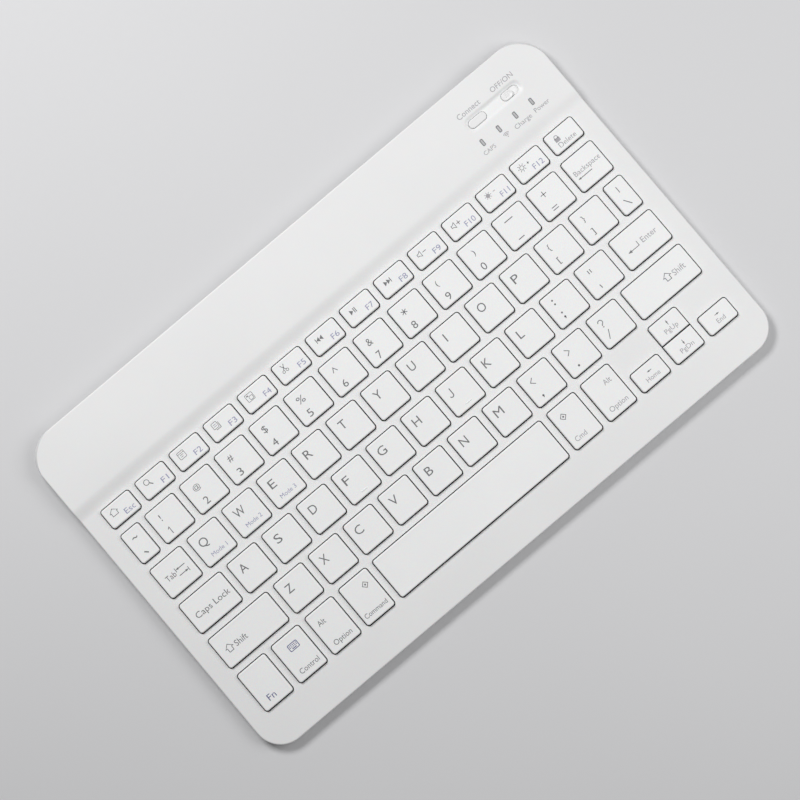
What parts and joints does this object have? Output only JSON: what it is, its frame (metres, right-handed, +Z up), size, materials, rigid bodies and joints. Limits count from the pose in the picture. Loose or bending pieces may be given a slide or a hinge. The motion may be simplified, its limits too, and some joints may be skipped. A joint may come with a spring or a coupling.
{
  "type": "wireless tablet keyboard",
  "caption": "Slim wireless tablet keyboard with low scissor keys, a raised battery strip at the back, a connect button and a power slider.",
  "frame": {"origin": "on the surface that the feet stand on, below the middle of the case", "axes": "+X to the right along the key rows, +Y towards the battery strip at the back, +Z up out of the keys"},
  "size_m": [0.247, 0.1492, 0.0063],
  "materials": {
    "case_plastic": "satin, very fine grain",
    "keycap_plastic": "satin",
    "control_plastic": "satin",
    "plate_metal": "brushed sheet",
    "film": "smooth dark film with printed tracks",
    "dome_rubber": "translucent silicone",
    "lever_plastic": "moulded",
    "spring_wire": "drawn wire",
    "board_laminate": "solder mask",
    "component_resin": "moulded resin",
    "battery_foil": "laminated foil pouch",
    "lead_sleeve": "sleeved wire",
    "socket_shell": "stamped shell",
    "switch_body": "moulded",
    "lamp_window": "translucent grey",
    "foot_rubber": "matt",
    "screw_metal": "plated"
  },
  "bodies": {
    "case": {"top_cover": "case_plastic", "bottom_cover": "case_plastic", "base_plate": "plate_metal", "membrane": "film", "rubber_domes": "dome_rubber", "scissor_levers": "lever_plastic", "circuit_board": "board_laminate", "board_components": "component_resin", "battery": "battery_foil", "battery_leads": "lead_sleeve", "charging_socket": "socket_shell", "power_switch": "switch_body", "connect_switch": "switch_body", "light_guides": "lamp_window", "rubber_feet": "foot_rubber", "case_screws": "screw_metal"},
    "key_a": {"key_a": "keycap_plastic"},
    "key_b": {"key_b": "keycap_plastic"},
    "key_c": {"key_c": "keycap_plastic"},
    "key_d": {"key_d": "keycap_plastic"},
    "key_e": {"key_e": "keycap_plastic"},
    "key_f": {"key_f": "keycap_plastic"},
    "key_g": {"key_g": "keycap_plastic"},
    "key_h": {"key_h": "keycap_plastic"},
    "key_i": {"key_i": "keycap_plastic"},
    "key_j": {"key_j": "keycap_plastic"},
    "key_k": {"key_k": "keycap_plastic"},
    "key_l": {"key_l": "keycap_plastic"},
    "key_m": {"key_m": "keycap_plastic"},
    "key_n": {"key_n": "keycap_plastic"},
    "key_o": {"key_o": "keycap_plastic"},
    "key_p": {"key_p": "keycap_plastic"},
    "key_q": {"key_q": "keycap_plastic"},
    "key_r": {"key_r": "keycap_plastic"},
    "key_s": {"key_s": "keycap_plastic"},
    "key_t": {"key_t": "keycap_plastic"},
    "key_u": {"key_u": "keycap_plastic"},
    "key_v": {"key_v": "keycap_plastic"},
    "key_w": {"key_w": "keycap_plastic"},
    "key_x": {"key_x": "keycap_plastic"},
    "key_y": {"key_y": "keycap_plastic"},
    "key_z": {"key_z": "keycap_plastic"},
    "left_arrow_key": {"left_arrow_key": "keycap_plastic"},
    "up_arrow_key": {"up_arrow_key": "keycap_plastic"},
    "down_arrow_key": {"down_arrow_key": "keycap_plastic"},
    "right_arrow_key": {"right_arrow_key": "keycap_plastic"},
    "space_bar": {"space_bar": "keycap_plastic"},
    "enter_key": {"enter_key": "keycap_plastic"},
    "backspace_key": {"backspace_key": "keycap_plastic"},
    "tab_key": {"tab_key": "keycap_plastic"},
    "caps_lock_key": {"caps_lock_key": "keycap_plastic"},
    "left_shift_key": {"left_shift_key": "keycap_plastic"},
    "right_shift_key": {"right_shift_key": "keycap_plastic"},
    "digit_keys": {"digit_keys": "keycap_plastic"},
    "symbol_keys": {"symbol_keys": "keycap_plastic"},
    "function_keys": {"function_keys": "keycap_plastic"},
    "modifier_keys": {"modifier_keys": "keycap_plastic"},
    "space_stabilizer": {"space_stabilizer": "spring_wire"},
    "connect_button": {"connect_button": "control_plastic"},
    "power_slider": {"power_slider": "control_plastic"}
  },
  "joints": [
    {"name": "key_a_press", "type": "slide", "parent": "case", "child": "key_a", "axis": [0, 0, -1], "range_m": [0, 0.0013], "stiffness_N_per_m": 300, "springref_m": -0.0005},
    {"name": "key_b_press", "type": "slide", "parent": "case", "child": "key_b", "axis": [0, 0, -1], "range_m": [0, 0.0013], "stiffness_N_per_m": 300, "springref_m": -0.0005},
    {"name": "key_c_press", "type": "slide", "parent": "case", "child": "key_c", "axis": [0, 0, -1], "range_m": [0, 0.0013], "stiffness_N_per_m": 300, "springref_m": -0.0005},
    {"name": "key_d_press", "type": "slide", "parent": "case", "child": "key_d", "axis": [0, 0, -1], "range_m": [0, 0.0013], "stiffness_N_per_m": 300, "springref_m": -0.0005},
    {"name": "key_e_press", "type": "slide", "parent": "case", "child": "key_e", "axis": [0, 0, -1], "range_m": [0, 0.0013], "stiffness_N_per_m": 300, "springref_m": -0.0005},
    {"name": "key_f_press", "type": "slide", "parent": "case", "child": "key_f", "axis": [0, 0, -1], "range_m": [0, 0.0013], "stiffness_N_per_m": 300, "springref_m": -0.0005},
    {"name": "key_g_press", "type": "slide", "parent": "case", "child": "key_g", "axis": [0, 0, -1], "range_m": [0, 0.0013], "stiffness_N_per_m": 300, "springref_m": -0.0005},
    {"name": "key_h_press", "type": "slide", "parent": "case", "child": "key_h", "axis": [0, 0, -1], "range_m": [0, 0.0013], "stiffness_N_per_m": 300, "springref_m": -0.0005},
    {"name": "key_i_press", "type": "slide", "parent": "case", "child": "key_i", "axis": [0, 0, -1], "range_m": [0, 0.0013], "stiffness_N_per_m": 300, "springref_m": -0.0005},
    {"name": "key_j_press", "type": "slide", "parent": "case", "child": "key_j", "axis": [0, 0, -1], "range_m": [0, 0.0013], "stiffness_N_per_m": 300, "springref_m": -0.0005},
    {"name": "key_k_press", "type": "slide", "parent": "case", "child": "key_k", "axis": [0, 0, -1], "range_m": [0, 0.0013], "stiffness_N_per_m": 300, "springref_m": -0.0005},
    {"name": "key_l_press", "type": "slide", "parent": "case", "child": "key_l", "axis": [0, 0, -1], "range_m": [0, 0.0013], "stiffness_N_per_m": 300, "springref_m": -0.0005},
    {"name": "key_m_press", "type": "slide", "parent": "case", "child": "key_m", "axis": [0, 0, -1], "range_m": [0, 0.0013], "stiffness_N_per_m": 300, "springref_m": -0.0005},
    {"name": "key_n_press", "type": "slide", "parent": "case", "child": "key_n", "axis": [0, 0, -1], "range_m": [0, 0.0013], "stiffness_N_per_m": 300, "springref_m": -0.0005},
    {"name": "key_o_press", "type": "slide", "parent": "case", "child": "key_o", "axis": [0, 0, -1], "range_m": [0, 0.0013], "stiffness_N_per_m": 300, "springref_m": -0.0005},
    {"name": "key_p_press", "type": "slide", "parent": "case", "child": "key_p", "axis": [0, 0, -1], "range_m": [0, 0.0013], "stiffness_N_per_m": 300, "springref_m": -0.0005},
    {"name": "key_q_press", "type": "slide", "parent": "case", "child": "key_q", "axis": [0, 0, -1], "range_m": [0, 0.0013], "stiffness_N_per_m": 300, "springref_m": -0.0005},
    {"name": "key_r_press", "type": "slide", "parent": "case", "child": "key_r", "axis": [0, 0, -1], "range_m": [0, 0.0013], "stiffness_N_per_m": 300, "springref_m": -0.0005},
    {"name": "key_s_press", "type": "slide", "parent": "case", "child": "key_s", "axis": [0, 0, -1], "range_m": [0, 0.0013], "stiffness_N_per_m": 300, "springref_m": -0.0005},
    {"name": "key_t_press", "type": "slide", "parent": "case", "child": "key_t", "axis": [0, 0, -1], "range_m": [0, 0.0013], "stiffness_N_per_m": 300, "springref_m": -0.0005},
    {"name": "key_u_press", "type": "slide", "parent": "case", "child": "key_u", "axis": [0, 0, -1], "range_m": [0, 0.0013], "stiffness_N_per_m": 300, "springref_m": -0.0005},
    {"name": "key_v_press", "type": "slide", "parent": "case", "child": "key_v", "axis": [0, 0, -1], "range_m": [0, 0.0013], "stiffness_N_per_m": 300, "springref_m": -0.0005},
    {"name": "key_w_press", "type": "slide", "parent": "case", "child": "key_w", "axis": [0, 0, -1], "range_m": [0, 0.0013], "stiffness_N_per_m": 300, "springref_m": -0.0005},
    {"name": "key_x_press", "type": "slide", "parent": "case", "child": "key_x", "axis": [0, 0, -1], "range_m": [0, 0.0013], "stiffness_N_per_m": 300, "springref_m": -0.0005},
    {"name": "key_y_press", "type": "slide", "parent": "case", "child": "key_y", "axis": [0, 0, -1], "range_m": [0, 0.0013], "stiffness_N_per_m": 300, "springref_m": -0.0005},
    {"name": "key_z_press", "type": "slide", "parent": "case", "child": "key_z", "axis": [0, 0, -1], "range_m": [0, 0.0013], "stiffness_N_per_m": 300, "springref_m": -0.0005},
    {"name": "left_arrow_key_press", "type": "slide", "parent": "case", "child": "left_arrow_key", "axis": [0, 0, -1], "range_m": [0, 0.0013], "stiffness_N_per_m": 300, "springref_m": -0.0005},
    {"name": "up_arrow_key_press", "type": "slide", "parent": "case", "child": "up_arrow_key", "axis": [0, 0, -1], "range_m": [0, 0.0013], "stiffness_N_per_m": 300, "springref_m": -0.0005},
    {"name": "down_arrow_key_press", "type": "slide", "parent": "case", "child": "down_arrow_key", "axis": [0, 0, -1], "range_m": [0, 0.0013], "stiffness_N_per_m": 300, "springref_m": -0.0005},
    {"name": "right_arrow_key_press", "type": "slide", "parent": "case", "child": "right_arrow_key", "axis": [0, 0, -1], "range_m": [0, 0.0013], "stiffness_N_per_m": 300, "springref_m": -0.0005},
    {"name": "space_bar_press", "type": "slide", "parent": "case", "child": "space_bar", "axis": [0, 0, -1], "range_m": [0, 0.0013], "stiffness_N_per_m": 330, "springref_m": -0.0005, "deforming": ["rubber_domes", "scissor_levers"]},
    {"name": "enter_key_press", "type": "slide", "parent": "case", "child": "enter_key", "axis": [0, 0, -1], "range_m": [0, 0.0013], "stiffness_N_per_m": 300, "springref_m": -0.0005},
    {"name": "backspace_key_press", "type": "slide", "parent": "case", "child": "backspace_key", "axis": [0, 0, -1], "range_m": [0, 0.0013], "stiffness_N_per_m": 300, "springref_m": -0.0005},
    {"name": "tab_key_press", "type": "slide", "parent": "case", "child": "tab_key", "axis": [0, 0, -1], "range_m": [0, 0.0013], "stiffness_N_per_m": 300, "springref_m": -0.0005},
    {"name": "caps_lock_key_press", "type": "slide", "parent": "case", "child": "caps_lock_key", "axis": [0, 0, -1], "range_m": [0, 0.0013], "stiffness_N_per_m": 300, "springref_m": -0.0005},
    {"name": "left_shift_key_press", "type": "slide", "parent": "case", "child": "left_shift_key", "axis": [0, 0, -1], "range_m": [0, 0.0013], "stiffness_N_per_m": 300, "springref_m": -0.0005},
    {"name": "right_shift_key_press", "type": "slide", "parent": "case", "child": "right_shift_key", "axis": [0, 0, -1], "range_m": [0, 0.0013], "stiffness_N_per_m": 300, "springref_m": -0.0005},
    {"name": "digit_keys_press", "type": "slide", "parent": "case", "child": "digit_keys", "axis": [0, 0, -1], "range_m": [0, 0.0013], "stiffness_N_per_m": 300, "springref_m": -0.0005},
    {"name": "symbol_keys_press", "type": "slide", "parent": "case", "child": "symbol_keys", "axis": [0, 0, -1], "range_m": [0, 0.0013], "stiffness_N_per_m": 300, "springref_m": -0.0005},
    {"name": "function_keys_press", "type": "slide", "parent": "case", "child": "function_keys", "axis": [0, 0, -1], "range_m": [0, 0.0013], "stiffness_N_per_m": 300, "springref_m": -0.0005},
    {"name": "modifier_keys_press", "type": "slide", "parent": "case", "child": "modifier_keys", "axis": [0, 0, -1], "range_m": [0, 0.0013], "stiffness_N_per_m": 300, "springref_m": -0.0005},
    {"name": "space_stabilizer_turn", "type": "hinge", "parent": "case", "child": "space_stabilizer", "pos_m": [-0.00827, -0.04805, 0.00285], "axis": [-1, 0, 0], "range_deg": [0, 17.9]},
    {"name": "connect_button_press", "type": "slide", "parent": "case", "child": "connect_button", "axis": [0, 0, -1], "range_m": [0, 0.00035], "stiffness_N_per_m": 1500, "springref_m": -0.0003},
    {"name": "power_slider_slide", "type": "slide", "parent": "case", "child": "power_slider", "axis": [1, 0, 0], "range_m": [0, 0.0023]}
  ],
  "couplings": [
    {"joint": "space_stabilizer_turn", "follows": "space_bar_press", "rad_per_m": 238.6}
  ]
}
